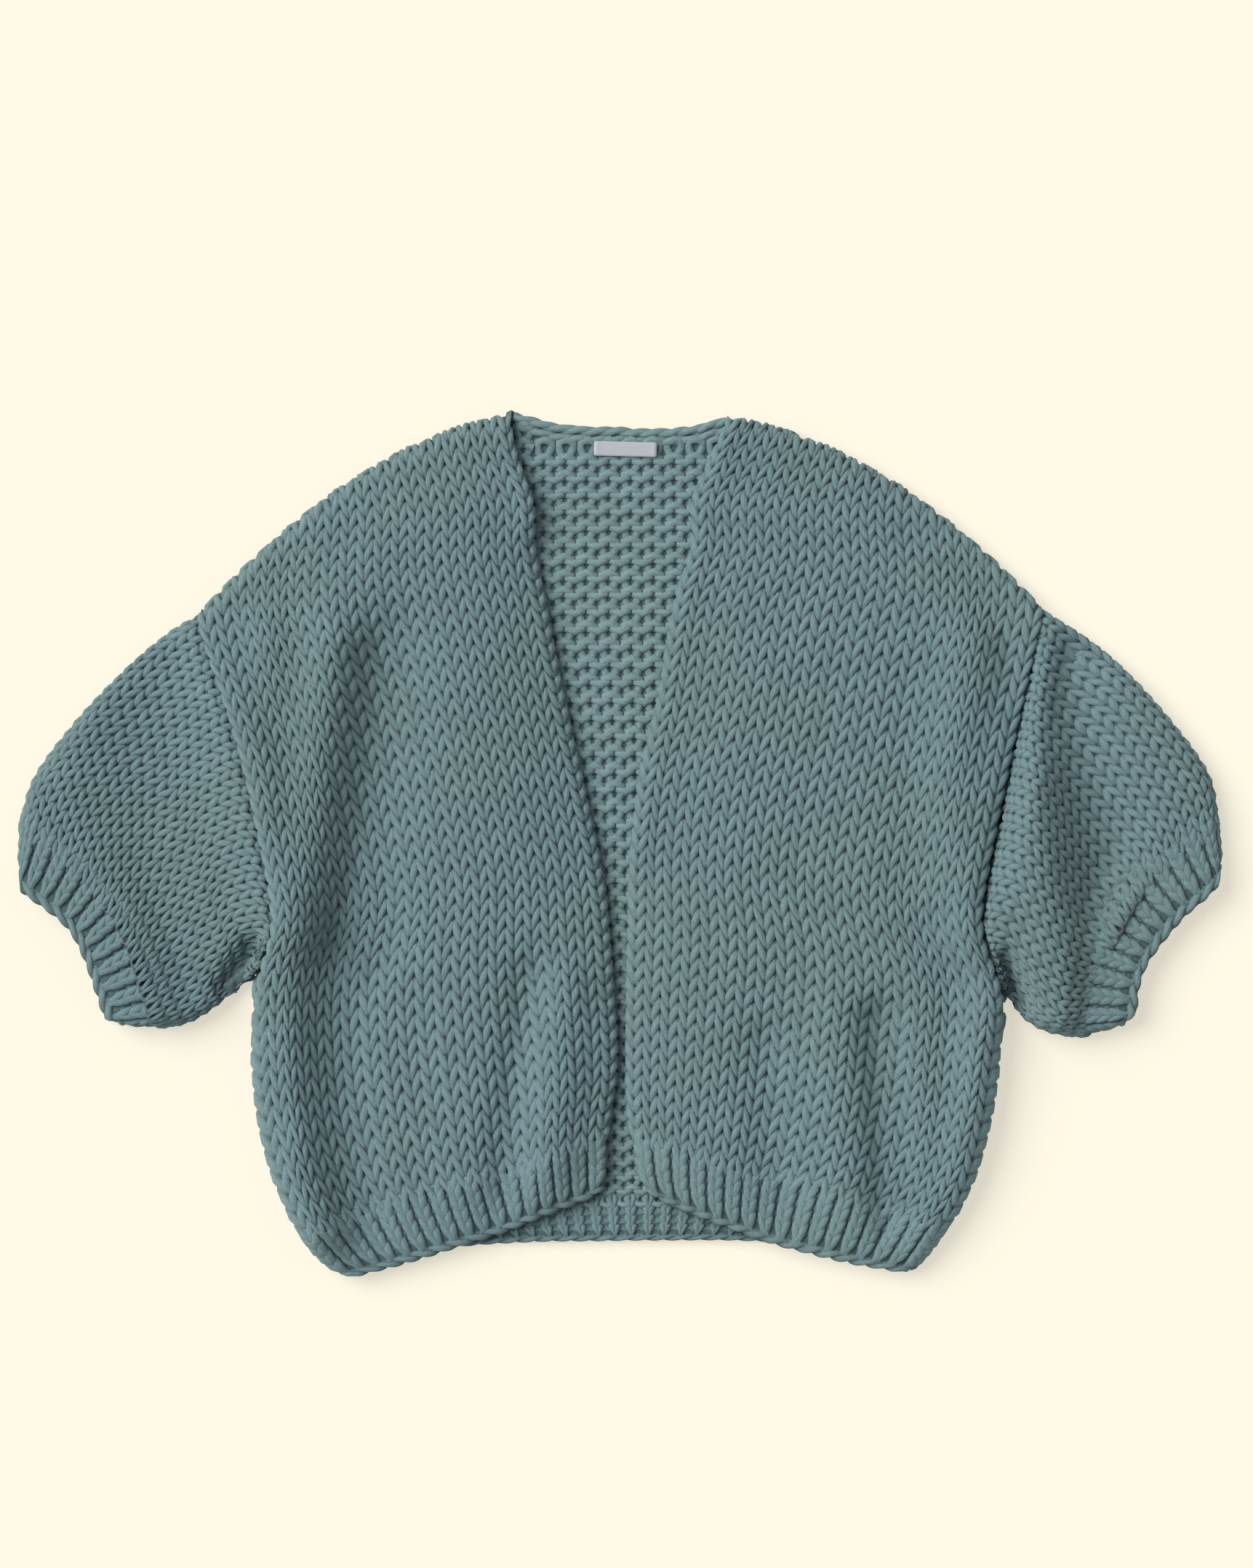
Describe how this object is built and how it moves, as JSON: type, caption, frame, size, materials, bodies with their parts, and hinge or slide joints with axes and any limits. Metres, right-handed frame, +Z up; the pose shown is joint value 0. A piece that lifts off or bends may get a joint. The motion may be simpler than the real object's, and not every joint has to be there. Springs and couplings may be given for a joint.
{
  "type": "short-sleeve cardigan laid flat",
  "caption": "Chunky knitted cardigan with short puffed sleeves, open front and ribbed hem and cuffs, laid flat on a surface.",
  "frame": {"origin": "on the surface the garment lies on, under the middle of its outline", "axes": "+Z up from the surface, +X across the sleeves towards the right as seen from above, -Y towards the hem"},
  "size_m": [0.9009, 0.6495, 0.0504],
  "materials": {
    "wool_knit": "soft matt grey-green wool in a super-chunky stocking stitch, with a faint fibre sheen",
    "label_cloth": "fine woven satin ribbon, pale grey, bare"
  },
  "bodies": {
    "root": {"back": "wool_knit", "hem_rib_back": "wool_knit", "front_left": "wool_knit", "front_right": "wool_knit", "hem_rib_front_left": "wool_knit", "hem_rib_front_right": "wool_knit", "sleeve_left": "wool_knit", "sleeve_right": "wool_knit", "cuff_left": "wool_knit", "cuff_right": "wool_knit", "label": "label_cloth"}
  },
  "joints": []
}
